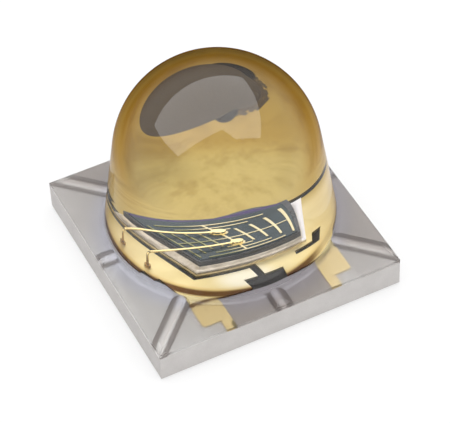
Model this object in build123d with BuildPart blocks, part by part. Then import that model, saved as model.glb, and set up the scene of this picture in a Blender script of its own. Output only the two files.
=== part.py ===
from build123d import *
import os
from math import cos, radians, sin, tan

# A surface-mount infrared emitter: a diced ceramic plate with plated pads, a bare chip
# soldered to the larger pad, two bond wires, and one clear silicone moulding over all of it.
# The origin is the middle of the underside. +Z points up through the lens, and the side
# that the two plating tabs run to faces -Y. All sizes are in millimetres.

# Plate
plate_side = 3.40
plate_thickness = 0.38

# Terminals on the underside, and the vias that feed the two outer ones
terminal_thickness = 0.03
terminal_inset = 0.20
side_terminal_width = 0.55
terminal_gap = 0.25
terminal_corner_radius = 0.06
polarity_chamfer = 0.25
via_radius = 0.06
via_inset = 0.15
via_pitch = 0.50

# The lens axis stands a little off the middle of the diced plate, and the middle of the
# plated pattern, where the chip sits, a little to the side of the lens axis
axis_x = 0.045
axis_y = 0.11
pattern_shift = 0.025

# Top plating: a disc with a flat front and back, two tabs to the diced edge, and one gap
# that parts the wire pad from the die pad
plating_thickness = 0.03
plating_radius = 1.31
front_flat = 1.23
back_flat = 1.18
tab_inner_edge = 0.67
tab_width = 0.38
tab_neck_width = 0.14
tab_setback = 0.18
tab_corner_radius = 0.05
pad_gap = 0.08
gap_side_clearance = 0.015
gap_front_clearance = 0.02
side_step_top = 0.56
side_step_width = 0.09
side_step_length = 0.20
side_step_count = 2

# Front notch, and the slot that joins the gap to it
notch_width = 0.45
notch_depth = 0.28
slot_shift = -0.025

# L-shaped alignment windows at three corners of the chip
window_width = 0.11
front_window_arm = 0.32
back_window_arm = 0.21
front_right_window = (0.73, -0.80)
back_right_window = (0.73, 0.68)
back_left_window = (-0.56, 0.77)

# Solder, chip and its contact grid
solder_thickness = 0.03
solder_margin = 0.05
solder_spill = 0.04
chip_side = 1.00
carrier_thickness = 0.13
emitter_thickness = 0.015
emitter_setback = 0.03
grid_thickness = 0.01
grid_line_width = 0.018
grid_shift = -0.06
bond_pad_radius = 0.065
bond_pad_pitch = 0.33

# Crossbars of the grid, each with its distance from the middle of the grid and its length
side_crossbars = ((0.13, 0.40), (0.235, 0.44), (0.34, 0.56), (0.44, 0.74))
end_crossbars = ((0.225, 0.22), (0.305, 0.50), (0.385, 0.72))

# Bond wires
wire_radius = 0.016
ball_radius = 0.042
ball_height = 0.035
stud_clearance = 0.015
wire_foot_pitch = 0.43
wire_foot_from_gap = 0.37
loop_height = 0.25
loop_shoulder = 0.34
loop_bend_radius = 0.06

# Moulding: dome, drafted wall, skin over the plate, and ribs left by the mould's channels
lens_height = 2.925
dome_radius = 1.34
wall_draft = 8.5
foot_fillet = 0.04
skin_thickness = 0.045
rib_count = 8
rib_width = 0.25
rib_height = 0.05
rib_flank_angle = 29
rib_end_draft = 60

# Heights of the stack
plate_top = terminal_thickness + plate_thickness
plating_top = plate_top + plating_thickness
solder_top = plating_top + solder_thickness
carrier_top = solder_top + carrier_thickness
emitter_top = carrier_top + emitter_thickness
grid_top = emitter_top + grid_thickness
skin_top = plate_top + skin_thickness

# Places that several pieces share, measured from the middle of the pattern
half_plate = plate_side / 2
pattern_x = axis_x + pattern_shift
solder_edge = chip_side / 2 + solder_margin
gap_x = -solder_edge - solder_spill - gap_side_clearance - pad_gap / 2
gap_y = -solder_edge - solder_spill - gap_front_clearance - pad_gap / 2
notch_top = -front_flat + notch_depth
front_edge = -half_plate - axis_y
tab_outer_edge = tab_inner_edge + tab_width
stud_radius = bond_pad_radius - stud_clearance
wire_foot_x = gap_x - wire_foot_from_gap


def pattern_plane(height):
    """Horizontal plane at a height, with its origin at the middle of the pattern."""
    return Plane((pattern_x, axis_y, height))


# Underside terminals
thermal_width = plate_side - 2 * (terminal_inset + side_terminal_width + terminal_gap)
terminal_length = plate_side - 2 * terminal_inset
side_terminal_x = half_plate - terminal_inset - side_terminal_width / 2

with BuildPart() as thermal_pad:
    with BuildSketch():
        RectangleRounded(thermal_width, terminal_length, terminal_corner_radius)
    extrude(amount=terminal_thickness)

with BuildPart() as anode_terminal:
    with BuildSketch():
        with Locations((side_terminal_x, 0)):
            RectangleRounded(side_terminal_width, terminal_length, terminal_corner_radius)
    extrude(amount=terminal_thickness)

# The cathode terminal has one cut corner, which marks the polarity from below
with BuildPart() as cathode_terminal:
    with BuildSketch() as cathode_outline:
        with Locations((-side_terminal_x, 0)):
            Rectangle(side_terminal_width, terminal_length)
        corners = cathode_outline.vertices().sort_by(Axis.X)
        chamfer(corners[:2].sort_by(Axis.Y)[-1], length=polarity_chamfer)
    extrude(amount=terminal_thickness)

# Plate, with a hole for each via
via_x = half_plate - terminal_inset - side_terminal_width + via_inset
via_places = {
    "cathode_via_front": (-via_x, axis_y - via_pitch / 2),
    "cathode_via_back": (-via_x, axis_y + via_pitch / 2),
    "anode_via_front": (via_x, axis_y - via_pitch / 2),
    "anode_via_back": (via_x, axis_y + via_pitch / 2),
}

with BuildPart() as ceramic_plate:
    with BuildSketch(Plane.XY.offset(terminal_thickness)):
        Rectangle(plate_side, plate_side)
        with Locations(*via_places.values()):
            Circle(via_radius, mode=Mode.SUBTRACT)
    extrude(amount=plate_thickness)

vias = {}
for via_name, via_place in via_places.items():
    with BuildPart() as via:
        with BuildSketch(Plane.XY.offset(terminal_thickness)):
            with Locations(via_place):
                Circle(via_radius)
        extrude(amount=plate_thickness)
    vias[via_name] = via

# Plating: the whole outline first, then the gap, the notch and the alignment windows
windows = (
    (front_right_window, front_window_arm),
    (back_right_window, back_window_arm),
    (back_left_window, back_window_arm),
)

with BuildSketch(pattern_plane(plate_top)) as plating:
    Circle(plating_radius)
    # Flat back, and a flat front between the tabs, which stand evenly about the lens axis
    with Locations((0, back_flat)):
        Rectangle(2 * plating_radius, plating_radius, align=(Align.CENTER, Align.MIN), mode=Mode.SUBTRACT)
    with Locations((-pattern_shift, -front_flat)):
        Rectangle(2 * tab_inner_edge, plating_radius, align=(Align.CENTER, Align.MAX), mode=Mode.SUBTRACT)
        Rectangle(2 * tab_inner_edge, front_flat, align=(Align.CENTER, Align.MIN))
    # Steps in the outline beside the wire pad's tab
    for step in range(side_step_count):
        step_edge = -pattern_shift - tab_outer_edge - step * side_step_width
        step_top = -side_step_top + step * side_step_length
        with Locations((step_edge, step_top)):
            Rectangle(plating_radius, plating_radius, align=(Align.MAX, Align.MAX), mode=Mode.SUBTRACT)
    # Each tab is wide at the disc and narrows to a neck at the diced edge
    for side in (-1, 1):
        tab_align = (Align.MAX if side < 0 else Align.MIN, Align.MIN)
        tab_x = side * tab_inner_edge - pattern_shift
        shoulder_y = front_edge + tab_setback
        with Locations((tab_x, shoulder_y)):
            Rectangle(tab_width, -shoulder_y - front_flat / 2, align=tab_align)
        with Locations((tab_x, front_edge)):
            Rectangle(tab_neck_width, tab_setback, align=tab_align)
        tab_corner = (tab_x + side * tab_width, shoulder_y)
        fillet(plating.vertices().sort_by_distance(tab_corner)[0], radius=tab_corner_radius)
    # The gap runs down beside the chip, then forward of it, and out through the notch
    with Locations((gap_x, gap_y - pad_gap / 2)):
        Rectangle(pad_gap, 2 * plating_radius, align=(Align.CENTER, Align.MIN), mode=Mode.SUBTRACT)
    with Locations(((gap_x + slot_shift) / 2, gap_y)):
        Rectangle(slot_shift - gap_x + pad_gap, pad_gap, mode=Mode.SUBTRACT)
    with Locations((slot_shift, gap_y)):
        Rectangle(pad_gap, gap_y - notch_top, align=(Align.CENTER, Align.MAX), mode=Mode.SUBTRACT)
    with Locations((0, -front_flat)):
        Rectangle(notch_width, notch_depth, align=(Align.CENTER, Align.MIN), mode=Mode.SUBTRACT)
    # Windows, each an L whose outer corner points away from the chip
    for (corner_x, corner_y), arm in windows:
        with Locations((corner_x, corner_y)):
            arm_align = (Align.MAX if corner_x > 0 else Align.MIN, Align.MAX if corner_y > 0 else Align.MIN)
            Rectangle(arm, window_width, align=arm_align, mode=Mode.SUBTRACT)
            Rectangle(window_width, arm, align=arm_align, mode=Mode.SUBTRACT)

pad_faces = plating.sketch.faces().sort_by(Axis.X)

with BuildPart() as wire_pad:
    extrude(pad_faces[0], amount=plating_thickness)

with BuildPart() as die_pad:
    extrude(pad_faces[-1], amount=plating_thickness)

# Solder under the chip, which has spread a little further towards the gap
solder_side = 2 * solder_edge + solder_spill

with BuildPart() as die_solder:
    with BuildSketch(pattern_plane(plating_top)):
        with Locations((solder_edge, solder_edge)):
            Rectangle(solder_side, solder_side, align=(Align.MAX, Align.MAX))
    extrude(amount=solder_thickness)

# Chip: the carrier, and the thinner emitting layer set back from its sawn edges
with BuildPart() as chip_carrier:
    with BuildSketch(pattern_plane(solder_top)):
        Rectangle(chip_side, chip_side)
    extrude(amount=carrier_thickness)

with BuildPart() as emitter_layer:
    with BuildSketch(pattern_plane(carrier_top)):
        Rectangle(chip_side - 2 * emitter_setback, chip_side - 2 * emitter_setback)
    extrude(amount=emitter_thickness)

# Contact grid: two crossed spines, each with its crossbars, and the bond pads on one of them
side_spine = 2 * side_crossbars[-1][0]
end_spine = 2 * end_crossbars[-1][0]

with BuildPart() as contact_grid:
    with BuildSketch(pattern_plane(emitter_top)):
        with Locations((0, grid_shift)):
            Rectangle(side_spine, grid_line_width)
            Rectangle(grid_line_width, end_spine)
            for bar_distance, bar_length in side_crossbars:
                with GridLocations(2 * bar_distance, 0, 2, 1):
                    Rectangle(grid_line_width, bar_length)
            for bar_distance, bar_length in end_crossbars:
                with GridLocations(0, 2 * bar_distance, 1, 2):
                    Rectangle(bar_length, grid_line_width)
            with GridLocations(0, bond_pad_pitch, 1, 2):
                Circle(bond_pad_radius)
    extrude(amount=grid_thickness)


def bond_wire(side):
    """One gold wire: a ball on the wire pad, a low loop, and a stud on the chip's bond pad."""
    middle_y = axis_y + grid_shift
    foot = Vector(pattern_x + wire_foot_x, middle_y + side * wire_foot_pitch / 2, plating_top)
    landing = Vector(pattern_x, middle_y + side * bond_pad_pitch / 2, grid_top)
    loop_top = foot + Vector(0, 0, loop_height)
    shoulder = loop_top + Vector(loop_shoulder, 0, 0)
    with BuildPart() as wire:
        with BuildLine() as route:
            FilletPolyline(
                foot + Vector(0, 0, ball_height / 2),
                loop_top,
                shoulder,
                landing + Vector(0, 0, ball_height / 2),
                radius=loop_bend_radius,
            )
        with BuildSketch(Plane(origin=route.line @ 0, z_dir=route.line % 0)):
            Circle(wire_radius)
        sweep(path=route.line)
        with Locations(foot):
            Cylinder(ball_radius, ball_height, align=(Align.CENTER, Align.CENTER, Align.MIN))
        with Locations(landing):
            Cylinder(stud_radius, ball_height, align=(Align.CENTER, Align.CENTER, Align.MIN))
    return wire


bond_wire_front = bond_wire(-1)
bond_wire_back = bond_wire(1)

# Dome and wall: half the outline, turned about the lens axis. The wall leaves the sphere
# at a tangent and flares down to the skin.
dome_centre = lens_height - dome_radius
tangent_radius = dome_radius * cos(radians(wall_draft))
tangent_height = dome_centre + dome_radius * sin(radians(wall_draft))
foot_radius = tangent_radius + (tangent_height - skin_top) * tan(radians(wall_draft))
foot_reach = foot_radius + foot_fillet

with BuildPart() as dome:
    with BuildSketch(Plane((axis_x, axis_y, 0), x_dir=(1, 0, 0), z_dir=(0, -1, 0))) as dome_outline:
        with BuildLine():
            Polyline(
                (0, lens_height),
                (0, plate_top),
                (foot_reach, plate_top),
                (foot_reach, skin_top),
                (foot_radius, skin_top),
                (tangent_radius, tangent_height),
            )
            CenterArc((0, dome_centre), dome_radius, wall_draft, 90 - wall_draft)
        make_face()
        foot_corner = dome_outline.vertices().sort_by_distance((foot_radius, skin_top))[0]
        fillet(foot_corner, radius=foot_fillet)
    revolve(axis=Axis((axis_x, axis_y, 0), (0, 0, 1)))

# Ribs: bars with sloping flanks that run from the lens to the diced edge, where the mould
# slopes them down to the skin
with BuildPart() as ribs:
    with BuildSketch(Plane((axis_x, axis_y, skin_top), x_dir=(0, 1, 0), z_dir=(1, 0, 0))):
        Trapezoid(rib_width, rib_height, rib_flank_angle, align=(Align.CENTER, Align.MIN))
    bar = extrude(amount=plate_side, mode=Mode.PRIVATE)
    for turn in range(rib_count):
        add(bar.rotate(Axis((axis_x, axis_y, 0), (0, 0, 1)), turn * 360 / rib_count))
    with BuildSketch(Plane.XY.offset(skin_top)):
        Rectangle(plate_side, plate_side)
    extrude(amount=rib_height, taper=rib_end_draft, mode=Mode.INTERSECT)

# One moulding, hollowed by everything that it was moulded around
with BuildPart() as silicone_lens:
    with BuildSketch(Plane.XY.offset(plate_top)):
        Rectangle(plate_side, plate_side)
    extrude(amount=skin_thickness)
    add(dome.part)
    add(ribs.part)
    sealed = (wire_pad, die_pad, die_solder, chip_carrier, emitter_layer, contact_grid)
    for piece in (*sealed, bond_wire_front, bond_wire_back):
        add(piece.part, mode=Mode.SUBTRACT)

# Export, one file for each piece
pieces = {
    "ceramic_plate": ceramic_plate,
    "anode_terminal": anode_terminal,
    "cathode_terminal": cathode_terminal,
    "thermal_pad": thermal_pad,
    **vias,
    "wire_pad": wire_pad,
    "die_pad": die_pad,
    "die_solder": die_solder,
    "chip_carrier": chip_carrier,
    "emitter_layer": emitter_layer,
    "contact_grid": contact_grid,
    "bond_wire_front": bond_wire_front,
    "bond_wire_back": bond_wire_back,
    "silicone_lens": silicone_lens,
}

os.makedirs("parts", exist_ok=True)
for name, piece in pieces.items():
    piece.part.label = name
    export_step(piece.part, f"parts/{name}.step")
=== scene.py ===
"""Looks of a surface-mount infrared emitter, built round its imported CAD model.

The classes hold their sizes in millimetres, as the part's source does. Each piece is shaped
in millimetres and brought to metres once, when its mesh is finished. Spans are where a step
starts and ends, and scales of noise are per metre.
"""

import logging
import math
from dataclasses import dataclass
from enum import StrEnum

import bmesh
import bpy
from bmesh.types import BMEdge, BMesh, BMVert
from bpy.types import Material, Node, NodeSocket, NodeTree, Object, World
from mathutils import Matrix, Vector


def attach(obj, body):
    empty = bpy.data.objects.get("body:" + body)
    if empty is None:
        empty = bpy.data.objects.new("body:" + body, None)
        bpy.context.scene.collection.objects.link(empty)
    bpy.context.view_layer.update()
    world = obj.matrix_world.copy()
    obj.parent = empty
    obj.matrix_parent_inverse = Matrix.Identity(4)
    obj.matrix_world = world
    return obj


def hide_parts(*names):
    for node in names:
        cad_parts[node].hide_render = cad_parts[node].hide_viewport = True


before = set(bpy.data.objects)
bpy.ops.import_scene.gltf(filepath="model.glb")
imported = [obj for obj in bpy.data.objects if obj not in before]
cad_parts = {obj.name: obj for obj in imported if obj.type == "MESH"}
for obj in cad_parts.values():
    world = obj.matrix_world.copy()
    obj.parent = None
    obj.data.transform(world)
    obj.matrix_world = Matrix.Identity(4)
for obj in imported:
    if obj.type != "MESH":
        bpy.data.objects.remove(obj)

LOG = logging.getLogger("emitter_looks")
MM = 0.001
PHOTO_WIDTH = 450
LENS_AXIS = (0.045, 0.11)
CHIP_CENTRE = (0.07, 0.11)

Colour = tuple[float, float, float, float]
Span = tuple[float, float]
Socket = NodeSocket
Feed = float | Colour | Socket


class Finish(StrEnum):
    """The finishes that the pieces of the emitter are given."""

    CERAMIC = "diced_ceramic"
    PLATING = "satin_plating"
    TERMINAL = "terminal_plating"
    CONTACT = "grid_gold"
    WIRE = "wire_gold"
    VIA = "via_fill"
    SOLDER = "die_solder"
    CARRIER = "sawn_carrier"
    EMITTER = "emitter_film"
    SILICONE = "clear_silicone"


class Grain(StrEnum):
    """The two layers of the grain, by the name of the group's output."""

    MOTTLE = "Mottle"
    CRYSTALS = "Crystals"


def rgba(red: float, green: float, blue: float) -> Colour:
    """Returns a linear colour with full alpha."""
    return (red, green, blue, 1.0)


WHITE = rgba(1.0, 1.0, 1.0)


class NodeSheet:
    """One node tree that is being written, with short calls to add and join nodes."""

    def __init__(self, tree: NodeTree) -> None:
        """Starts on an empty tree."""
        self.tree = tree
        self.tree.nodes.clear()

    def add(self, kind: str, **settings: object) -> Node:
        """Adds a node.

        Args:
            kind: The node's type name.
            **settings: Properties of the node to set.

        Returns:
            The new node.
        """
        node = self.tree.nodes.new(kind)
        for name, value in settings.items():
            setattr(node, name, value)
        return node

    def feed(self, node: Node, **values: Feed) -> Node:
        """Sets or joins the inputs of a node.

        Args:
            node: The node whose inputs are fed.
            **values: Input names with _ for a space, or _ and the input's number.

        Returns:
            The same node.
        """
        for name, value in values.items():
            numbered = name[1:].isdigit()
            socket = node.inputs[int(name[1:]) if numbered else name.replace("_", " ")]
            if isinstance(value, NodeSocket):
                self.tree.links.new(value, socket)
            else:
                socket.default_value = value
        return node

    def math(self, operation: str, *values: Feed, clamp: bool = False) -> Socket:
        """Joins numbers by one operation, from the first to the last.

        Args:
            operation: The operation's name.
            *values: The numbers or sockets.
            clamp: True to keep the result from 0 to 1.

        Returns:
            The result's socket.
        """
        result = values[0]
        for value in values[1:] or (0.0,):
            node = self.add("ShaderNodeMath", operation=operation, use_clamp=clamp)
            result = self.feed(node, _0=result, _1=value).outputs[0]
        return result

    def product(self, *values: Feed) -> Socket:
        """Multiplies numbers."""
        return self.math("MULTIPLY", *values)

    def vector(self, operation: str, first: Feed, second: Feed, output: str = "Vector") -> Socket:
        """Joins two vectors by one operation; output "Value" is for those that give numbers."""
        node = self.add("ShaderNodeVectorMath", operation=operation)
        return self.feed(node, _0=first, _1=second).outputs[output]

    def step(self, value: Feed, span: Span, low: float = 0.0, high: float = 1.0) -> Socket:
        """Steps smoothly from low to high, while a value runs over a span."""
        node = self.add("ShaderNodeMapRange", interpolation_type="SMOOTHSTEP")
        return self.feed(node, _0=value, _1=span[0], _2=span[1], _3=low, _4=high).outputs["Result"]

    def fade(self, value: Feed, span: Span, high: float = 1.0) -> Socket:
        """Steps smoothly down to nothing."""
        return self.step(value, span, high, 0.0)

    def mix(self, share: Feed, first: Feed, second: Feed, blend: str = "MIX") -> Socket:
        """Mixes two colours, with the second one's share."""
        node = self.add("ShaderNodeMix", data_type="RGBA", blend_type=blend)
        return self.feed(node, _0=share, _6=first, _7=second).outputs[2]

    def tint(self, share: Feed, colour: Feed, tone: Feed) -> Socket:
        """Multiplies a colour by a tone, as far as the share says."""
        return self.mix(share, colour, self.mix(1.0, colour, tone, "MULTIPLY"))

    def blend(self, share: Feed, first: Socket, second: Socket) -> Socket:
        """Mixes two shaders, with the second one's share."""
        return self.feed(self.add("ShaderNodeMixShader"), _0=share, _1=first, _2=second).outputs[0]

    def glow(self, strength: Feed) -> Socket:
        """Adds white light of a given strength."""
        return self.feed(self.add("ShaderNodeEmission"), Color=WHITE, Strength=strength).outputs[0]

    def noise(self, place: Socket, scale: Feed, detail: float, roughness: float) -> Socket:
        """Reads noise, from 0 to 1, at the given coordinates."""
        look = {"Scale": scale, "Detail": detail, "Roughness": roughness}
        return self.feed(self.add("ShaderNodeTexNoise"), Vector=place, **look).outputs["Fac"]

    def place(self) -> Socket:
        """Returns the point's place on Object coordinates, in metres."""
        return self.add("ShaderNodeTexCoord").outputs["Object"]

    def axes(self) -> list[Socket]:
        """Returns the point's X, Y and Z on Object coordinates, in millimetres."""
        scaled = self.vector("MULTIPLY", self.place(), (1 / MM, 1 / MM, 1 / MM))
        return list(self.feed(self.add("ShaderNodeSeparateXYZ"), Vector=scaled).outputs)

    def axis_distance(self, axis: Span) -> Socket:
        """Measures how far a point lies from an upright axis, in millimetres."""
        flat = self.vector("MULTIPLY", self.place(), (1 / MM, 1 / MM, 0.0))
        return self.vector("DISTANCE", flat, (*axis, 0.0), "Value")

    def spot(self, centre: Span, radii: Span, high: float = 1.0) -> Socket:
        """Marks a round spot that fades out between two radii."""
        return self.fade(self.axis_distance(centre), radii, high)


class MaterialSheet(NodeSheet):
    """A new material's node tree."""

    def __init__(self, name: str) -> None:
        """Starts the material.

        Args:
            name: Its name.
        """
        self.material = bpy.data.materials.new(name)
        self.material.use_nodes = True
        super().__init__(self.material.node_tree)
        self.end = self.add("ShaderNodeOutputMaterial")
        self.shader = None

    def show(self, surface: Socket) -> None:
        """Makes a shader the material's surface."""
        self.feed(self.end, Surface=surface)

    def coat(self, **values: Feed) -> None:
        """Gives the material a Principled shader as its surface."""
        self.shader = self.feed(self.add("ShaderNodeBsdfPrincipled"), **values)
        self.show(self.shader.outputs["BSDF"])

    def relieve(self, height: Socket, depth: float, strength: float) -> Material:
        """Feeds a height to the Principled shader's normal and hands over the material.

        Args:
            height: The height's socket, from 0 to 1.
            depth: How deep a height of 1 is, in millimetres.
            strength: How much of the bump shows.

        Returns:
            The material.
        """
        bump = self.add("ShaderNodeBump")
        self.feed(bump, Height=height, Distance=depth * MM, Strength=strength)
        self.feed(self.shader, Normal=bump.outputs["Normal"])
        return self.material


class SharedEffects:
    """Node groups that more than one material uses, each built once."""

    def __init__(self) -> None:
        """Builds the groups."""
        self.grain = self._grain()
        self.streaks = self._streaks()

    @staticmethod
    def _new_group(
        name: str, inputs: dict[str, float], outputs: tuple[str, ...],
    ) -> tuple[NodeSheet, Node, Node]:
        """Makes a group with a coordinate input, number inputs and number outputs.

        Args:
            name: The group's name.
            inputs: The number inputs, with their default values.
            outputs: The names of the number outputs.

        Returns:
            The sheet that writes in it, its input node and its output node.
        """
        tree = bpy.data.node_groups.new(name, "ShaderNodeTree")
        new_socket = tree.interface.new_socket
        new_socket(name="Place", in_out="INPUT", socket_type="NodeSocketVector")
        for label, value in inputs.items():
            socket = new_socket(name=label, in_out="INPUT", socket_type="NodeSocketFloat")
            socket.default_value = value
        for label in outputs:
            new_socket(name=label, in_out="OUTPUT", socket_type="NodeSocketFloat")
        sheet = NodeSheet(tree)
        return sheet, sheet.add("NodeGroupInput"), sheet.add("NodeGroupOutput")

    def _grain(self) -> NodeTree:
        """Builds the grain: soft mottling with fine crystals on top.

        Returns:
            The group.
        """
        sheet, given, end = self._new_group(
            "fine_grain", {"Coarse": 9000.0, "Fine": 70000.0},
            (Grain.MOTTLE, Grain.CRYSTALS),
        )
        place = given.outputs["Place"]
        mottle = sheet.noise(place, given.outputs["Coarse"], detail=4.0, roughness=0.6)
        crystals = sheet.noise(place, given.outputs["Fine"], detail=2.0, roughness=0.7)
        sheet.feed(end, Mottle=mottle, Crystals=crystals)
        return sheet.tree

    def _streaks(self) -> NodeTree:
        """Builds the streaks: noise drawn out along the plane of the plate, as a saw leaves it.

        Returns:
            The group.
        """
        sheet, given, end = self._new_group(
            "saw_streaks", {"Along": 1500.0, "Across": 60000.0}, ("Streak",),
        )
        along, across = given.outputs["Along"], given.outputs["Across"]
        scales = sheet.feed(sheet.add("ShaderNodeCombineXYZ"), X=along, Y=along, Z=across)
        drawn = sheet.vector("MULTIPLY", given.outputs["Place"], scales.outputs["Vector"])
        sheet.feed(end, Streak=sheet.noise(drawn, 1.0, detail=3.0, roughness=0.65))
        return sheet.tree

    @staticmethod
    def use(sheet: NodeSheet, group: NodeTree, **values: float) -> dict[str, Socket]:
        """Puts a group into a material on Object coordinates, and gives its outputs by name."""
        node = sheet.add("ShaderNodeGroup", node_tree=group)
        return dict(sheet.feed(node, Place=sheet.place(), **values).outputs.items())


@dataclass(frozen=True)
class LensPlace:
    """Where a point of a material lies, in millimetres: on the part, and from the lens axis."""

    sheet: NodeSheet
    x: Socket
    y: Socket
    across: Socket
    along: Socket
    reach: Socket

    @classmethod
    def on(cls, sheet: NodeSheet) -> "LensPlace":
        """Measures the place on a material's sheet.

        Args:
            sheet: The sheet.

        Returns:
            The place.
        """
        flat = sheet.axes()[:2]
        offsets = (sheet.math("SUBTRACT", *pair) for pair in zip(flat, LENS_AXIS))
        return cls(sheet, *flat, *offsets, sheet.axis_distance(LENS_AXIS))


@dataclass(frozen=True)
class CeramicFinish:
    """Fired ceramic with a fine mineral grain, sawn at its sides, with painted shade where the etch
    bared it.

    All places but face_height are measured from the lens axis.
    """

    pale: Colour = rgba(0.73, 0.71, 0.695)
    dark: Colour = rgba(0.65, 0.63, 0.615)
    coarse: float = 3500.0
    fine: float = 60000.0
    mottle_share: float = 0.6
    mottle_range: Span = (0.35, 0.65)
    streak_range: Span = (0.35, 0.70)
    streak_share: float = 0.2
    sawn: Colour = rgba(0.77, 0.76, 0.755)
    face_height: Span = (0.402, 0.405)
    # Painted light: a bluish halo and a brighter band round the lens foot.
    halo_light: Colour = rgba(0.90, 0.93, 1.06)
    halo_light_radii: Span = (1.56, 1.80)
    foot_light: Colour = rgba(1.06, 1.06, 1.08)
    foot_radii: Span = (1.54, 1.59)
    # Painted shade: the dome's shadow between the tabs, and darker parts behind the slanting ribs,
    # right and left.
    shade: Colour = rgba(0.66, 0.61, 0.585)
    behind_start: Span = (-0.04, 0.04)
    tabs_end: Span = (0.71, 0.81)
    tabs_front: Span = (-1.1, -1.0)
    corner_start: Span = (0.95, 1.15)
    corner_share: float = 0.5
    left_end: Span = (-1.15, -0.9)
    left_rise: Span = (-0.3, 0.9)
    left_share: float = 0.45
    # Painted shade under the ribs' flanks and a painted highlight under their crests.
    rib_start: Span = (1.40, 1.52)
    flank_shade: Colour = rgba(0.42, 0.38, 0.36)
    flank_start: Span = (0.034, 0.048)
    flank_end: Span = (0.115, 0.135)
    crest_light: Colour = rgba(1.14, 1.13, 1.12)
    crest_end: Span = (0.018, 0.034)
    # Painted shade: near black where the etch bared the ceramic, browner further back.
    bared_shade: Colour = rgba(0.010, 0.008, 0.007)
    etched_radii: Span = (1.24, 1.26)
    bared_back_shade: Colour = rgba(0.11, 0.065, 0.02)
    etched_back_start: Span = (0.75, 0.95)
    ring_start: Span = (1.04, 1.06)
    ring_radii: Span = (1.50, 1.54)
    roughness: float = 0.62
    grain_depth: float = 0.004
    grain_strength: float = 0.5

    def _shaded(self, place: LensPlace) -> Socket:
        """Marks where painted shade falls: behind the slanting ribs, between the tabs, right and
        left.

        Args:
            place: The point's place.

        Returns:
            The mask's socket.
        """
        sheet = place.sheet
        behind = sheet.step(sheet.math("ADD", place.across, place.along), self.behind_start)
        between = sheet.product(
            sheet.fade(sheet.math("ABSOLUTE", place.across), self.tabs_end),
            sheet.fade(place.along, self.tabs_front),
        )
        corner = sheet.step(place.across, self.corner_start, 0.0, self.corner_share)
        left = sheet.product(
            sheet.fade(place.across, self.left_end),
            sheet.step(place.along, self.left_rise, 0.0, self.left_share),
        )
        return sheet.math("MAXIMUM", behind, between, corner, left)

    def _marked(self, place: LensPlace, colour: Socket) -> Socket:
        """Paints shade under the ribs' flanks, a highlight under their crests, and shade where the
        etch bared the ceramic.

        The etch lies bare in the gaps of the plating and in a ring behind it.

        Args:
            place: The point's place.
            colour: The face's colour so far.

        Returns:
            The colour's socket.
        """
        sheet = place.sheet
        lines = [sheet.math("ABSOLUTE", place.across), sheet.math("ABSOLUTE", place.along)]
        for operation in ("ADD", "SUBTRACT"):
            slant = sheet.math("ABSOLUTE", sheet.math(operation, place.across, place.along))
            lines.append(sheet.product(slant, math.sqrt(0.5)))
        rib = sheet.math("MINIMUM", *lines)
        begun = sheet.step(place.reach, self.rib_start)
        flank = sheet.product(
            sheet.step(rib, self.flank_start), sheet.fade(rib, self.flank_end), begun,
        )
        crest = sheet.product(sheet.fade(rib, self.crest_end), begun)
        # Painted shade on the flanks, painted highlight on the crests.
        colour = sheet.tint(flank, colour, self.flank_shade)
        colour = sheet.tint(crest, colour, self.crest_light)
        # Painted shade on the ceramic that the etch bared.
        inside = sheet.fade(place.reach, self.etched_radii)
        ring = sheet.product(
            sheet.step(place.along, self.ring_start), sheet.fade(place.reach, self.ring_radii),
        )
        further = sheet.step(place.along, self.etched_back_start)
        bared_shade = sheet.mix(further, self.bared_shade, self.bared_back_shade)
        return sheet.mix(sheet.math("MAXIMUM", inside, ring), colour, bared_shade)

    def build(self, effects: SharedEffects) -> Material:
        """Builds the material.

        Args:
            effects: The shared node groups.

        Returns:
            The material.
        """
        sheet = MaterialSheet(Finish.CERAMIC)
        grain = effects.use(sheet, effects.grain, Coarse=self.coarse, Fine=self.fine)
        streak = effects.use(sheet, effects.streaks)["Streak"]
        mottle = sheet.product(grain[Grain.MOTTLE], self.mottle_share)
        crystals = sheet.product(grain[Grain.CRYSTALS], 1 - self.mottle_share)
        tone = sheet.step(sheet.math("ADD", mottle, crystals), self.mottle_range)
        streaked = sheet.step(streak, self.streak_range, 0.0, self.streak_share)
        body = sheet.mix(streaked, sheet.mix(tone, self.dark, self.pale), self.dark)
        place = LensPlace.on(sheet)
        # Painted light round the lens foot, then painted shade over the darker parts.
        face = sheet.tint(sheet.fade(place.reach, self.halo_light_radii), body, self.halo_light)
        face = sheet.tint(sheet.fade(place.reach, self.foot_radii), face, self.foot_light)
        face = sheet.tint(self._shaded(place), face, self.shade)
        face = self._marked(place, face)
        side = sheet.mix(1.0, body, self.sawn, "MULTIPLY")
        colour = sheet.mix(sheet.step(sheet.axes()[2], self.face_height), side, face)
        sheet.coat(Base_Color=colour, Roughness=self.roughness)
        return sheet.relieve(grain[Grain.CRYSTALS], self.grain_depth, self.grain_strength)


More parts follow.
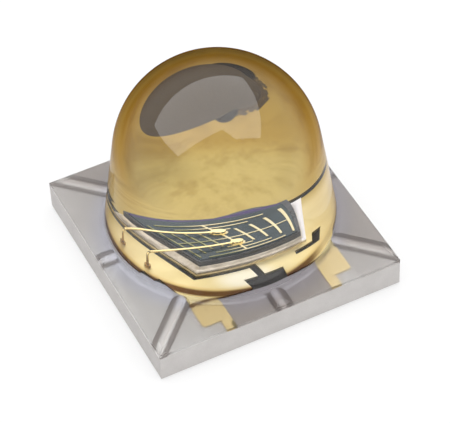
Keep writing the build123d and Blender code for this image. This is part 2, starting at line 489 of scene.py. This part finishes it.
@dataclass(frozen=True)
class GrainedFinish:
    """A finish with a fine grain; as given here, metal as dull as solder or a filled via."""

    finish: Finish
    bright: Colour
    worn: Colour
    roughness: float
    metallic: float = 1.0
    gloss: float = 0.5
    smoother: float = 0.1
    rougher: float = 0.1
    coarse: float = 14000.0
    fine: float = 90000.0
    worn_range: Span = (0.3, 0.7)
    crystal_range: Span = (0.3, 0.7)
    relief: Grain = Grain.MOTTLE
    relief_depth: float = 0.003
    relief_strength: float = 0.5

    def build(self, effects: SharedEffects) -> Material:
        """Builds the material.

        Args:
            effects: The shared node groups.

        Returns:
            The material.
        """
        sheet = MaterialSheet(self.finish)
        grain = effects.use(sheet, effects.grain, Coarse=self.coarse, Fine=self.fine)
        worn = sheet.step(grain[Grain.MOTTLE], self.worn_range)
        rough = sheet.step(
            grain[Grain.CRYSTALS], self.crystal_range,
            self.roughness - self.smoother, self.roughness + self.rougher,
        )
        colour = self._marks_and_light(sheet, sheet.mix(worn, self.bright, self.worn))
        sheet.coat(
            Base_Color=colour, Roughness=rough, Metallic=self.metallic,
            Specular_IOR_Level=self.gloss,
        )
        return sheet.relieve(grain[self.relief], self.relief_depth, self.relief_strength)

    def _marks_and_light(self, sheet: NodeSheet, colour: Socket) -> Socket:
        """Leaves the colour as it is."""
        return colour


@dataclass(frozen=True)
class GoldFinish(GrainedFinish):
    """Plated or drawn gold."""

    bright: Colour = rgba(0.87, 0.73, 0.39)
    worn: Colour = rgba(0.83, 0.68, 0.34)
    roughness: float = 0.40
    smoother: float = 0.04
    rougher: float = 0.06
    coarse: float = 2500.0
    worn_range: Span = (0.35, 0.7)
    relief: Grain = Grain.CRYSTALS
    relief_depth: float = 0.0002
    relief_strength: float = 0.6


@dataclass(frozen=True)
class PlatingFinish(GoldFinish):
    """The plating round the chip: painted shade behind the chip and along its rim, a painted
    highlight in front.
    """

    # Painted highlight on the front of the plating.
    painted_highlight: Colour = rgba(0.96, 0.90, 0.74)
    highlight_centre: Span = (-0.12, -0.80)
    highlight_radii: Span = (0.12, 0.42)
    highlight_share: float = 0.8
    # Painted shade: a darker copy of the gold behind the chip.
    back: Colour = rgba(0.665, 0.60, 0.37)
    back_shade_start: Span = (0.35, 0.70)
    smoke: Colour = rgba(0.84, 0.80, 0.70)
    smoke_scale: float = 14000.0
    smoke_range: Span = (0.42, 0.66)
    smoke_start: Span = (0.72, 0.95)
    # Painted shade along the ragged back edge of the plating, as dark as the shaded ceramic beyond.
    fray_shade: Colour = rgba(0.12, 0.09, 0.06)
    fray_scale: float = 90000.0
    fray_depth: float = 0.05
    fray_radii: Span = (1.303, 1.309)
    fray_start: Span = (0.95, 1.14)
    left_back: Colour = rgba(0.74, 0.72, 0.66)
    left_back_end: Span = (0.33, 0.46)
    left_back_start: Span = (0.98, 1.16)
    # The right side, where the rim's painted shade is mostly left off.
    unshaded_start: Span = (0.6, 0.9)
    unshaded_end: Span = (0.7, 0.9)
    unshaded_share: float = 0.8
    # Painted shade: browner towards the rim, dark brown at its edge and at the tabs' roots.
    rim: Colour = rgba(0.84, 0.72, 0.48)
    rim_radii: Span = (1.08, 1.22)
    edge: Colour = rgba(0.18, 0.10, 0.04)
    edge_radii: Span = (1.165, 1.24)
    edge_end: Span = (0.75, 1.0)
    tab: Colour = rgba(0.88, 0.84, 0.82)
    tab_radii: Span = (1.33, 1.40)
    tab_root: Span = (-1.20, -1.06)
    burr: Colour = rgba(0.17, 0.14, 0.06)
    burr_centre: Span = (-0.60, -1.65)
    burr_radii: Span = (0.055, 0.09)
    burr_share: float = 0.9
    nick: Colour = rgba(0.03, 0.02, 0.012)
    nick_centre: Span = (0.615, 1.30)
    nick_radii: Span = (0.036, 0.042)

    def _marks_and_light(self, sheet: NodeSheet, colour: Socket) -> Socket:
        """Paints highlight and shade into the gold's colour, darkens the tabs and adds the burr and
        the nick.

        Args:
            sheet: The material's sheet.
            colour: The clean gold.

        Returns:
            The colour's socket.
        """
        place = LensPlace.on(sheet)
        # Painted highlight in front, painted shade behind the chip.
        painted_highlight = sheet.spot(self.highlight_centre, self.highlight_radii, self.highlight_share)
        colour = sheet.mix(painted_highlight, colour, self.painted_highlight)
        colour = sheet.tint(sheet.step(place.y, self.back_shade_start), colour, self.back)
        colour = self._rim_shade(place, self._back_marks_and_shade(place, colour))
        colour = sheet.tint(sheet.fade(place.y, self.tab_root), colour, self.tab)
        burr = sheet.spot(self.burr_centre, self.burr_radii, self.burr_share)
        nick = sheet.spot(self.nick_centre, self.nick_radii)
        return sheet.mix(nick, sheet.mix(burr, colour, self.burr), self.nick)

    def _back_marks_and_shade(self, place: LensPlace, colour: Socket) -> Socket:
        """Mottles the plating behind the chip, frays its edge with painted shade and darkens its
        left part there.

        Args:
            place: The point's place.
            colour: The gold so far.

        Returns:
            The colour's socket.
        """
        sheet = place.sheet
        noise = sheet.noise(sheet.place(), self.smoke_scale, detail=4.0, roughness=0.6)
        smoke = sheet.product(
            sheet.step(noise, self.smoke_range), sheet.step(place.y, self.smoke_start),
        )
        colour = sheet.tint(smoke, colour, self.smoke)
        speck = sheet.noise(sheet.place(), self.fray_scale, detail=3.0, roughness=0.7)
        jitter = sheet.product(sheet.math("SUBTRACT", speck, 0.5), self.fray_depth)
        ragged = sheet.math("ADD", place.reach, jitter)
        frayed = sheet.product(
            sheet.step(ragged, self.fray_radii), sheet.step(place.y, self.fray_start),
        )
        dim = sheet.product(
            sheet.fade(place.x, self.left_back_end), sheet.step(place.y, self.left_back_start),
        )
        return sheet.tint(dim, sheet.mix(frayed, colour, self.fray_shade), self.left_back)

    def _rim_shade(self, place: LensPlace, colour: Socket) -> Socket:
        """Paints shade on the plating's rim and the tabs' roots, but hardly on its right side.

        Args:
            place: The point's place.
            colour: The gold so far.

        Returns:
            The colour's socket.
        """
        sheet = place.sheet
        unshaded = sheet.product(
            sheet.step(place.x, self.unshaded_start), sheet.fade(place.y, self.unshaded_end),
            self.unshaded_share,
        )
        rest = sheet.math("SUBTRACT", 1.0, unshaded)
        round_rim = sheet.fade(place.reach, self.tab_radii)
        rim = sheet.product(sheet.step(place.reach, self.rim_radii), round_rim, rest)
        edge = sheet.product(
            sheet.step(place.reach, self.edge_radii), round_rim, sheet.fade(place.y, self.edge_end),
        )
        low, high = self.tab_root
        middle = (low + high) / 2
        root = sheet.product(
            sheet.step(place.y, (low, middle)), sheet.fade(place.y, (middle, high)),
        )
        # Painted shade along the edge and the tabs' roots.
        brown = sheet.product(sheet.math("MAXIMUM", edge, root), rest)
        return sheet.tint(brown, sheet.tint(rim, colour, self.rim), self.edge)


@dataclass(frozen=True)
class DimmedGold(GoldFinish):
    """Gold that is darker up to a place on one axis, as the grid's lines and the wires' feet are.
    """

    axis: int = 0
    dull: Colour = rgba(0.34, 0.39, 0.31)
    dull_end: Span = (-0.12, 0.10)

    def _marks_and_light(self, sheet: NodeSheet, colour: Socket) -> Socket:
        """Darkens the gold up to its place."""
        return sheet.tint(sheet.fade(sheet.axes()[self.axis], self.dull_end), colour, self.dull)


@dataclass(frozen=True)
class SolderFinish(GrainedFinish):
    """The solder round the chip, with a painted highlight beyond the chip's right side."""

    # Painted highlight on the solder beyond the chip's right side.
    right_highlight: Colour = rgba(0.97, 0.95, 0.98)
    right_highlight_start: Span = (0.56, 0.59)

    def _marks_and_light(self, sheet: NodeSheet, colour: Socket) -> Socket:
        """Paints a highlight on the fillet on the right."""
        return sheet.mix(sheet.step(sheet.axes()[0], self.right_highlight_start), colour, self.right_highlight)


@dataclass(frozen=True)
class CarrierFinish:
    """The sawn sides of the chip."""

    pale: Colour = rgba(0.10, 0.10, 0.11)
    dark: Colour = rgba(0.02, 0.022, 0.026)
    along: float = 3000.0
    across: float = 90000.0
    streak_range: Span = (0.4, 0.65)
    roughness: Span = (0.25, 0.45)
    streak_depth: float = 0.003
    streak_strength: float = 0.5

    def build(self, effects: SharedEffects) -> Material:
        """Builds the material.

        Args:
            effects: The shared node groups.

        Returns:
            The material.
        """
        sheet = MaterialSheet(Finish.CARRIER)
        saw = effects.use(sheet, effects.streaks, Along=self.along, Across=self.across)
        tone = sheet.step(saw["Streak"], self.streak_range)
        sheet.coat(
            Base_Color=sheet.mix(tone, self.dark, self.pale),
            Roughness=sheet.step(tone, (0.0, 1.0), *self.roughness),
        )
        return sheet.relieve(saw["Streak"], self.streak_depth, self.streak_strength)


@dataclass(frozen=True)
class EmitterFinish(GrainedFinish):
    """The chip's dark teal face under its thin film, with a painted violet fringe of dispersed
    light along its back edge.
    """

    finish: Finish = Finish.EMITTER
    bright: Colour = rgba(0.010, 0.028, 0.034)
    worn: Colour = rgba(0.022, 0.046, 0.058)
    roughness: float = 0.12
    metallic: float = 0.0
    gloss: float = 0.25
    smoother: float = 0.04
    rougher: float = 0.04
    coarse: float = 4000.0
    fine: float = 50000.0
    worn_range: Span = (0.35, 0.65)
    relief_depth: float = 0.001
    relief_strength: float = 0.3
    # Painted light: the violet fringe that the lens's dispersion throws along the back edge.
    rim: Colour = rgba(0.07, 0.03, 0.16)
    fringe_start: Span = (0.53, 0.58)

    def _marks_and_light(self, sheet: NodeSheet, colour: Socket) -> Socket:
        """Paints the violet fringe of dispersed light."""
        return sheet.mix(sheet.step(sheet.axes()[1], self.fringe_start), colour, self.rim)


@dataclass(frozen=True)
class SiliconeFinish:
    """Clear silicone: a polished dome over a satin skin, with a rim that lets the gold through,
    tinted with painted reflection and shade.
    """

    clear: Colour = rgba(0.99, 0.99, 0.985)
    ior: float = 1.53
    satin: float = 0.30
    satin_height: Span = (0.51, 0.55)
    # Painted reflection: the rim's amber tint; painted shade: its dark brown outline.
    rim: Colour = rgba(0.76, 0.61, 0.36)
    rim_facing: Span = (0.31, 0.62)
    outline: Colour = rgba(0.46, 0.28, 0.09)
    outline_facing: Span = (0.70, 0.93)
    rim_share: float = 0.98
    rim_height: Span = (1.2, 2.4)
    rim_low: float = 0.35
    coarse: float = 500.0
    fine: float = 6000.0
    relief_depth: float = 0.0008
    relief_strength: float = 0.4

    def build(self, effects: SharedEffects) -> Material:
        """Builds the material.

        Args:
            effects: The shared node groups.

        Returns:
            The material.
        """
        sheet = MaterialSheet(Finish.SILICONE)
        height = sheet.axes()[2]
        polished = sheet.step(height, self.satin_height)
        sheet.coat(
            Base_Color=self.clear, IOR=self.ior, Transmission_Weight=1.0,
            Roughness=sheet.fade(polished, (0.0, 1.0), self.satin),
        )
        # The rim shows painted reflection and shade in place of its white reflection.
        weight = sheet.add("ShaderNodeLayerWeight").outputs["Facing"]
        brown = sheet.mix(sheet.step(weight, self.outline_facing), self.rim, self.outline)
        through = sheet.feed(
            sheet.add("ShaderNodeBsdfRefraction"), Color=brown, Roughness=0.0, IOR=self.ior,
        )
        inside = sheet.add("ShaderNodeNewGeometry").outputs["Backfacing"]
        share = sheet.product(
            sheet.step(weight, self.rim_facing, 0.0, self.rim_share),
            sheet.math("SUBTRACT", 1.0, inside), polished,
            sheet.step(height, self.rim_height, self.rim_low, 1.0),
        )
        sheet.show(sheet.blend(share, sheet.shader.outputs["BSDF"], through.outputs[0]))
        grain = effects.use(sheet, effects.grain, Coarse=self.coarse, Fine=self.fine)
        return sheet.relieve(grain[Grain.MOTTLE], self.relief_depth, self.relief_strength)


def to_object(name: str, shape: BMesh) -> Object:
    """Turns a bmesh into an object of the scene and frees it.

    Args:
        name: The object's and the mesh's name.
        shape: The bmesh.

    Returns:
        The object.
    """
    bmesh.ops.recalc_face_normals(shape, faces=shape.faces)
    mesh = bpy.data.meshes.new(name)
    shape.to_mesh(mesh)
    shape.free()
    made = bpy.data.objects.new(name, mesh)
    bpy.context.scene.collection.objects.link(made)
    return made


def finish_piece(piece: Object, material: Material, sharp_degrees: float) -> None:
    """Brings a piece from millimetres to metres, smooths and dresses it.

    Args:
        piece: The piece, shaped in millimetres.
        material: Its material.
        sharp_degrees: Edges turned by more than this stay sharp.
    """
    piece.data.transform(Matrix.Scale(MM, 4))
    piece.data.shade_smooth()
    piece.data.set_sharp_from_angle(angle=math.radians(sharp_degrees))
    piece.data.materials.clear()
    piece.data.materials.append(material)
    even = piece.modifiers.new("even_normals", "WEIGHTED_NORMAL")
    even.keep_sharp = True
    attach(piece, "root")


@dataclass
class LensMoulding:
    """The clear moulding: dome, drafted wall, skin over the plate, and the radial ribs."""

    plate_half: float = 1.70
    plate_top: float = 0.41
    top: float = 2.925
    dome_radius: float = 1.34
    wall_draft: float = 8.5
    foot_fillet: float = 0.075
    skin: float = 0.045
    rib_count: int = 8
    rib_width: float = 0.25
    rib_height: float = 0.05
    rib_flank_angle: float = 29.0
    rib_end_draft: float = 60.0
    rib_round: float = 0.012
    rib_round_steps: int = 3
    sink: float = 0.02
    turns: int = 160
    arc_steps: int = 48
    wall_steps: int = 10
    fillet_steps: int = 6
    sharp_degrees: float = 22.0
    weld: float = 1e-5
    join_weld: float = 1e-4
    cut_tolerance: float = 1e-6

    @property
    def skin_top(self) -> float:
        """Returns the height of the skin's top."""
        return self.plate_top + self.skin

    @staticmethod
    def _arc(centre: Vector, radius: float, start: float, end: float, steps: int) -> list[Vector]:
        """Divides an arc in the XZ plane, from one angle to another, both ends included."""
        turns = (start + (end - start) * index / steps for index in range(steps + 1))
        return [centre + radius * Vector((math.cos(turn), 0, math.sin(turn))) for turn in turns]

    def _outline(self) -> list[Vector]:
        """Works out the dome's half outline, from the apex to the foot.

        Returns:
            Points in the XZ plane, measured from the lens axis.
        """
        draft = math.radians(self.wall_draft)
        centre = Vector((0, 0, self.top - self.dome_radius))
        dome = self._arc(centre, self.dome_radius, math.pi / 2, draft, self.arc_steps)
        tangent = dome[-1]
        foot = tangent.x + (tangent.z - self.skin_top) * math.tan(draft)
        spread = self.foot_fillet * (1 - math.sin(draft)) / math.cos(draft)
        centre = Vector((foot + spread, 0, self.skin_top + self.foot_fillet))
        fillet = self._arc(
            centre, self.foot_fillet, math.pi + draft, 1.5 * math.pi, self.fillet_steps,
        )
        wall = [
            tangent.lerp(fillet[0], index / self.wall_steps)
            for index in range(1, self.wall_steps)
        ]
        under = self.skin_top - self.sink
        return dome + wall + fillet + [Vector((fillet[-1].x, 0, under)), Vector((0, 0, under))]

    def _dome(self) -> Object:
        """Turns the half outline about the lens axis.

        Returns:
            The dome.
        """
        shape = bmesh.new()
        ring = [shape.verts.new(point) for point in self._outline()]
        edges = [shape.edges.new(pair) for pair in zip(ring, ring[1:])]
        bmesh.ops.spin(
            shape, geom=ring + edges, cent=(0, 0, 0), axis=(0, 0, 1), angle=2 * math.pi,
            steps=self.turns, use_merge=True, use_duplicate=False,
        )
        bmesh.ops.remove_doubles(shape, verts=shape.verts, dist=self.weld)
        bmesh.ops.translate(shape, vec=(*LENS_AXIS, 0), verts=shape.verts)
        return to_object("dome_form", shape)

    def _skin_slab(self) -> Object:
        """Makes the skin, whose underside draws in below the plate's top.

        Returns:
            The skin.
        """
        shape = bmesh.new()
        bmesh.ops.create_cube(shape, size=2 * self.plate_half)
        flatten = self.skin / (2 * self.plate_half)
        bmesh.ops.scale(shape, vec=(1, 1, flatten), verts=shape.verts)
        middle = self.skin_top - self.skin / 2
        bmesh.ops.translate(shape, vec=(0, 0, middle), verts=shape.verts)
        under = min(shape.faces, key=lambda face: face.calc_center_median().z)
        inner = bmesh.ops.extrude_discrete_faces(shape, faces=[under])["faces"]
        draw_in = 1 - self.sink / self.plate_half
        bmesh.ops.scale(shape, vec=(draw_in, draw_in, 1), verts=inner[0].verts)
        bmesh.ops.translate(shape, vec=(0, 0, -self.sink), verts=inner[0].verts)
        return to_object("skin_form", shape)

    def _rib(self, turn: float) -> Object:
        """Makes one bar across the plate, with sloping flanks, a rounded crest and sloping ends.

        Args:
            turn: Its direction, in degrees from the X axis.

        Returns:
            The bar.
        """
        slope = math.tan(math.radians(self.rib_flank_angle))
        outer = self.rib_width / 2 + self.sink / slope
        crest = self.rib_width / 2 - self.rib_height / slope
        low, high = self.skin_top - self.sink, self.skin_top + self.rib_height
        shape = bmesh.new()
        section = [
            shape.verts.new((-2 * self.plate_half, across, up))
            for across, up in ((-outer, low), (outer, low), (crest, high), (-crest, high))
        ]
        cap = shape.faces.new(section)
        run = bmesh.ops.extrude_face_region(shape, geom=[cap])["geom"]
        moved = [item for item in run if isinstance(item, BMVert)]
        bmesh.ops.translate(shape, vec=(4 * self.plate_half, 0, 0), verts=moved)
        crest_edges = [
            edge for edge in shape.edges
            if all(vert.co.z > self.skin_top for vert in edge.verts)
            and edge.calc_length() > self.plate_half
        ]
        bmesh.ops.bevel(
            shape, geom=crest_edges, offset=self.rib_round, offset_type="OFFSET",
            affect="EDGES", segments=self.rib_round_steps, profile=0.5, material=-1,
        )
        heading = Matrix.Rotation(math.radians(turn), 3, "Z")
        bmesh.ops.rotate(shape, cent=(0, 0, 0), matrix=heading, verts=shape.verts)
        bmesh.ops.translate(shape, vec=(*LENS_AXIS, 0), verts=shape.verts)
        lean = math.radians(self.rib_end_draft)
        upward = Vector((0, 0, 1))
        for quarter in range(4):
            outward = Matrix.Rotation(quarter * math.pi / 2, 3, "Z") @ Vector((1, 0, 0))
            rim = outward * self.plate_half + upward * self.skin_top
            self._trim(shape, rim, outward * math.cos(lean) + upward * math.sin(lean))
            self._trim(shape, rim - outward * self.sink, outward)
        return to_object("rib_form", shape)

    def _trim(self, shape: BMesh, place: Vector, normal: Vector) -> None:
        """Cuts off what lies beyond a plane and closes the cut.

        Args:
            shape: The solid to cut.
            place: A point on the plane.
            normal: The plane's normal, towards what is cut off.
        """
        cut = bmesh.ops.bisect_plane(
            shape, geom=shape.verts[:] + shape.edges[:] + shape.faces[:],
            dist=self.cut_tolerance, plane_co=place, plane_no=normal, clear_outer=True,
        )
        rim = [item for item in cut["geom_cut"] if isinstance(item, BMEdge)]
        if rim:
            bmesh.ops.edgeloop_fill(shape, edges=rim)

    def build(self, material: Material) -> Object:
        """Joins dome, skin and ribs into one closed moulding.

        Args:
            material: The silicone.

        Returns:
            The moulding.
        """
        lens = self._skin_slab()
        bars = self.rib_count // 2
        parts = [self._dome()] + [self._rib(index * 180 / bars) for index in range(bars)]
        for index, part in enumerate(parts):
            join = lens.modifiers.new(f"join_{index}", "BOOLEAN")
            join.operation = "UNION"
            join.solver = "EXACT"
            join.object = part
        graph = bpy.context.evaluated_depsgraph_get()
        joined = bpy.data.meshes.new_from_object(lens.evaluated_get(graph))
        lens.modifiers.clear()
        lens.data = joined
        lens.name = joined.name = "lens_moulding"
        for part in parts:
            bpy.data.objects.remove(part)
        shape = bmesh.new()
        shape.from_mesh(joined)
        bmesh.ops.remove_doubles(shape, verts=shape.verts, dist=self.join_weld)
        bmesh.ops.dissolve_degenerate(shape, edges=shape.edges, dist=self.weld)
        bmesh.ops.recalc_face_normals(shape, faces=shape.faces)
        open_edges = sum(not edge.is_manifold for edge in shape.edges)
        shape.to_mesh(joined)
        shape.free()
        finish_piece(lens, material, self.sharp_degrees)
        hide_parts("silicone_lens")
        LOG.info("lens_moulding: %d faces, %d open edges", len(joined.polygons), open_edges)
        return lens


@dataclass
class SolderFillet:
    """The solder that has risen against the chip's foot and thins out towards its own edge.

    Each wave of the ripple has its share, its count round the chip and its phase.
    """

    chip_half: float = 0.50
    margin: float = 0.05
    spill: float = 0.04
    solder_top: float = 0.47
    rise: float = 0.05
    overlap: float = 0.004
    ripple: float = 0.005
    ripple_inward: float = 2.0
    waves: tuple[tuple[float, int, float], ...] = ((1.0, 7, 0.0), (0.6, 17, 1.0), (0.4, 29, 2.0))
    rings: int = 8
    side_steps: int = 24
    sharp_degrees: float = 50.0
    weld: float = 1e-6

    def _settle(self, shape: BMesh, ring: list[BMVert], out: float, height: float) -> None:
        """Brings one ring from a plain square, 2 wide, to its place about the chip.

        Args:
            shape: The fillet.
            ring: The ring's vertices.
            out: 0 at the chip's wall, 1 at the solder's edge.
            height: The ring's height.
        """
        full, start = 2 * math.pi, -0.7501 * math.pi
        ring.sort(key=lambda vert: (math.atan2(vert.co.y, vert.co.x) - start) % full)
        low = self.overlap - self.chip_half - (self.margin + self.spill) * out
        high = self.chip_half - self.overlap + self.margin * out
        half, middle = (high - low) / 2, (high + low) / 2
        bmesh.ops.scale(shape, vec=(half, half, 1), verts=ring)
        centre = (CHIP_CENTRE[0] + middle, CHIP_CENTRE[1] + middle, height)
        bmesh.ops.translate(shape, vec=centre, verts=ring)
        for index, vert in enumerate(ring):
            turn = full * index / len(ring)
            wave = sum(share * math.sin(count * turn + phase) for share, count, phase in self.waves)
            side = Matrix.Rotation(index // self.side_steps * full / 4, 3, "Z")
            away = side @ Vector((0, -1, 0))
            vert.co += away * self.ripple * out * (wave - self.ripple_inward)

    def build(self, material: Material) -> Object:
        """Builds the fillet as one closed ring with a hollow slope.

        Args:
            material: The solder.

        Returns:
            The fillet.
        """
        shape = bmesh.new()
        corners = bmesh.ops.create_circle(shape, segments=4, radius=math.sqrt(2))["verts"]
        bmesh.ops.rotate(shape, matrix=Matrix.Rotation(math.pi / 4, 3, "Z"), verts=corners)
        bmesh.ops.subdivide_edges(shape, edges=shape.edges[:], cuts=self.side_steps - 1)
        under = self.solder_top - self.overlap
        slope = [index / self.rings for index in range(self.rings + 1)]
        hollow = [(out, self.solder_top + self.rise * (1 - out) ** 2) for out in slope]
        profile = [(0.0, under), *hollow, (1.0, under), (0.0, under)]
        rings, edges = [shape.verts[:]], shape.edges[:]
        for _ in profile[1:]:
            grown = bmesh.ops.extrude_edge_only(shape, edges=edges)["geom"]
            rings.append([item for item in grown if isinstance(item, BMVert)])
            edges = [item for item in grown if isinstance(item, BMEdge)]
        for ring, (out, height) in zip(rings, profile):
            self._settle(shape, ring, out, height)
        bmesh.ops.remove_doubles(shape, verts=shape.verts, dist=self.weld)
        fillet = to_object("solder_fillet", shape)
        finish_piece(fillet, material, self.sharp_degrees)
        LOG.info("solder_fillet: %d faces", len(fillet.data.polygons))
        return fillet


@dataclass
class PackagedNodes:
    """The CAD nodes that keep their own shape, by the finish that they take."""

    finishes: dict[Finish, tuple[str, ...]]

    def dress(self, materials: dict[Finish, Material]) -> None:
        """Gives each node its material.

        Args:
            materials: The built materials.
        """
        for finish, names in self.finishes.items():
            for name in names:
                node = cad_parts[name]
                node.data.materials.clear()
                node.data.materials.append(materials[finish])
                LOG.info("%s: %s", name, finish)


@dataclass
class Studio:
    """A white floor under one overhead panel, in a room lit from the front.

    The panel is cut away where the photographer stands. Its outline is given as the object
    sees it: X and Y over the panel's height.
    """

    floor_half: float = 60.0
    floor_drop: float = 0.002
    floor_colour: Colour = rgba(0.93, 0.93, 0.93)
    floor_lift: float = 0.62
    under_reach: float = 0.06
    panel_height: float = 60.0
    panel_outline: tuple[Span, ...] = (
        (-1.60, 1.13), (1.00, 0.82), (0.87, -0.95), (0.14, -0.70), (-0.05, -0.38), (-1.60, -0.41),
    )
    panel_light: float = 1.85
    panel_gloss: float = 3.4
    air_light: float = 0.32
    front_light: float = 1.12
    front_way: tuple[float, float, float] = (0.25, -0.95, 0.15)
    front_span: Span = (0.1, 0.95)

    @staticmethod
    def _seen(sheet: NodeSheet) -> Socket:
        """Marks the rays that show the background: to the camera, off metal and through glass.

        Args:
            sheet: The sheet that asks.

        Returns:
            The mask's socket.
        """
        path = sheet.add("ShaderNodeLightPath").outputs
        rays = (path[f"Is {kind} Ray"] for kind in ("Camera", "Glossy", "Transmission"))
        return sheet.math("MAXIMUM", *rays)

    def _stand(self, shape: BMesh, material: Material) -> None:
        """Puts a floor or panel into the studio, under its material's name.

        Args:
            shape: Its shape in millimetres.
            material: Its material.
        """
        piece = to_object(material.name, shape)
        piece.data.transform(Matrix.Scale(MM, 4))
        piece.data.materials.append(material)
        LOG.info("%s stands", piece.name)

    def _floor(self) -> None:
        """Lays the white floor, which keeps the object's shadow.

        A view and light from below pass through it, so the underside isn't black.
        """
        sheet = MaterialSheet("studio_floor")
        paper = sheet.feed(sheet.add("ShaderNodeBsdfDiffuse"), Color=self.floor_colour)
        lift = sheet.product(self._seen(sheet), self.floor_lift)
        lifted = sheet.blend(lift, paper.outputs[0], sheet.glow(1.0))
        path = sheet.add("ShaderNodeLightPath").outputs
        lighting = sheet.math("MAXIMUM", path["Is Diffuse Ray"], path["Is Shadow Ray"])
        close = sheet.math("LESS_THAN", path["Ray Length"], self.under_reach * MM)
        below = sheet.add("ShaderNodeNewGeometry").outputs["Backfacing"]
        opened = sheet.math("MAXIMUM", below, sheet.product(lighting, close))
        clear = sheet.add("ShaderNodeBsdfTransparent").outputs[0]
        sheet.show(sheet.blend(opened, lifted, clear))
        shape = bmesh.new()
        bmesh.ops.create_grid(shape, x_segments=1, y_segments=1, size=self.floor_half)
        bmesh.ops.translate(shape, vec=(0, 0, -self.floor_drop), verts=shape.verts)
        self._stand(shape, sheet.material)

    def _panel(self) -> None:
        """Hangs the panel, which the camera itself looks through."""
        sheet = MaterialSheet("diffuser_panel")
        path = sheet.add("ShaderNodeLightPath").outputs
        mirrored = sheet.math(
            "SUBTRACT", path["Is Glossy Ray"], path["Is Transmission Ray"], clamp=True,
        )
        shine = sheet.product(mirrored, self.panel_gloss - self.panel_light)
        light = sheet.glow(sheet.math("ADD", shine, self.panel_light))
        clear = sheet.add("ShaderNodeBsdfTransparent").outputs[0]
        sheet.show(sheet.blend(path["Is Camera Ray"], light, clear))
        shape = bmesh.new()
        height = self.panel_height
        shape.faces.new([
            shape.verts.new((x * height, y * height, height))
            for x, y in reversed(self.panel_outline)
        ])
        self._stand(shape, sheet.material)

    def _surround(self) -> World:
        """Builds the air round the panel: dim for the object, white for the camera.

        Returns:
            The world.
        """
        world = bpy.data.worlds.new("studio_surround")
        world.use_nodes = True
        sheet = NodeSheet(world.node_tree)
        way = sheet.add("ShaderNodeTexCoord").outputs["Generated"]
        facing = sheet.vector("DOT_PRODUCT", way, self.front_way, "Value")
        level = sheet.step(facing, self.front_span, self.air_light, self.front_light)
        level = sheet.math("MAXIMUM", level, self._seen(sheet))
        air = sheet.feed(sheet.add("ShaderNodeBackground"), Color=WHITE, Strength=level)
        sheet.feed(sheet.add("ShaderNodeOutputWorld"), Surface=air.outputs[0])
        return world

    def build(self) -> None:
        """Builds the floor, the panel and the surround."""
        self._floor()
        self._panel()
        bpy.context.scene.world = self._surround()


@dataclass
class PhotoCamera:
    """The camera at the photograph's viewing angle."""

    focal_px: float = 2295.96
    azimuth: float = -24.5067
    elevation: float = 46.5156
    roll: float = -2.9073
    target: tuple[float, float, float] = (0.1775, 0.2572, 0.3)
    distance: float = 30.1563
    sensor_width: float = 36.0
    clip: Span = (1.0, 1000.0)

    def build(self) -> None:
        """Makes the camera and gives it to the scene."""
        turn, rise, roll = map(math.radians, (self.azimuth, self.elevation, self.roll))
        level = math.cos(rise)
        back = Vector((math.sin(turn) * level, -math.cos(turn) * level, math.sin(rise)))
        right = Vector((0, 0, 1)).cross(back).normalized()
        up = back.cross(right)
        rolled_right = math.cos(roll) * right + math.sin(roll) * up
        rolled_up = -math.sin(roll) * right + math.cos(roll) * up
        data = bpy.data.cameras.new("photo_camera")
        data.sensor_width = self.sensor_width
        data.lens = data.sensor_width * self.focal_px / PHOTO_WIDTH
        data.clip_start, data.clip_end = (end * MM for end in self.clip)
        camera = bpy.data.objects.new("photo_camera", data)
        bpy.context.scene.collection.objects.link(camera)
        pose = Matrix((rolled_right, rolled_up, back)).transposed().to_4x4()
        pose.translation = (Vector(self.target) + back * self.distance) * MM
        camera.matrix_world = pose
        bpy.context.scene.camera = camera
        LOG.info("photo_camera stands")


def build_materials() -> dict[Finish, Material]:
    """Builds every finish once.

    Returns:
        The materials by finish.
    """
    effects = SharedEffects()
    grained = (
        PlatingFinish(Finish.PLATING),
        GoldFinish(Finish.TERMINAL, rgba(0.80, 0.62, 0.29), rgba(0.74, 0.56, 0.25), 0.38),
        DimmedGold(Finish.CONTACT, rgba(0.80, 0.69, 0.42), rgba(0.76, 0.64, 0.36), 0.3),
        DimmedGold(
            Finish.WIRE, rgba(1.0, 0.82, 0.42), rgba(0.92, 0.72, 0.34), 0.16,
            axis=2, dull=rgba(0.36, 0.28, 0.18), dull_end=(0.50, 0.66),
        ),
        GrainedFinish(Finish.VIA, rgba(0.75, 0.42, 0.25), rgba(0.45, 0.24, 0.14), 0.5),
        SolderFinish(Finish.SOLDER, rgba(0.72, 0.64, 0.53), rgba(0.56, 0.48, 0.37), 0.42),
        EmitterFinish(),
    )
    finishes = {
        Finish.CERAMIC: CeramicFinish(),
        **{given.finish: given for given in grained},
        Finish.CARRIER: CarrierFinish(),
        Finish.SILICONE: SiliconeFinish(),
    }
    return {kind: finish.build(effects) for kind, finish in finishes.items()}


def main() -> None:
    """Builds the emitter's pieces and the studio in order."""
    logging.basicConfig(level=logging.INFO, format="%(name)s %(message)s")
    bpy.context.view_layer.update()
    bpy.context.scene.view_settings.view_transform = "Standard"
    materials = build_materials()
    nodes = PackagedNodes({
        Finish.CERAMIC: ("ceramic_plate",),
        Finish.TERMINAL: ("anode_terminal", "cathode_terminal", "thermal_pad"),
        Finish.VIA: ("cathode_via_front", "cathode_via_back", "anode_via_front", "anode_via_back"),
        Finish.PLATING: ("wire_pad", "die_pad"),
        Finish.SOLDER: ("die_solder",),
        Finish.CARRIER: ("chip_carrier",),
        Finish.EMITTER: ("emitter_layer",),
        Finish.CONTACT: ("contact_grid",),
        Finish.WIRE: ("bond_wire_front", "bond_wire_back"),
    })
    nodes.dress(materials)
    SolderFillet().build(materials[Finish.SOLDER])
    LensMoulding().build(materials[Finish.SILICONE])
    Studio().build()
    PhotoCamera().build()
    LOG.info("boxes written")


if __name__ == "__main__":
    main()
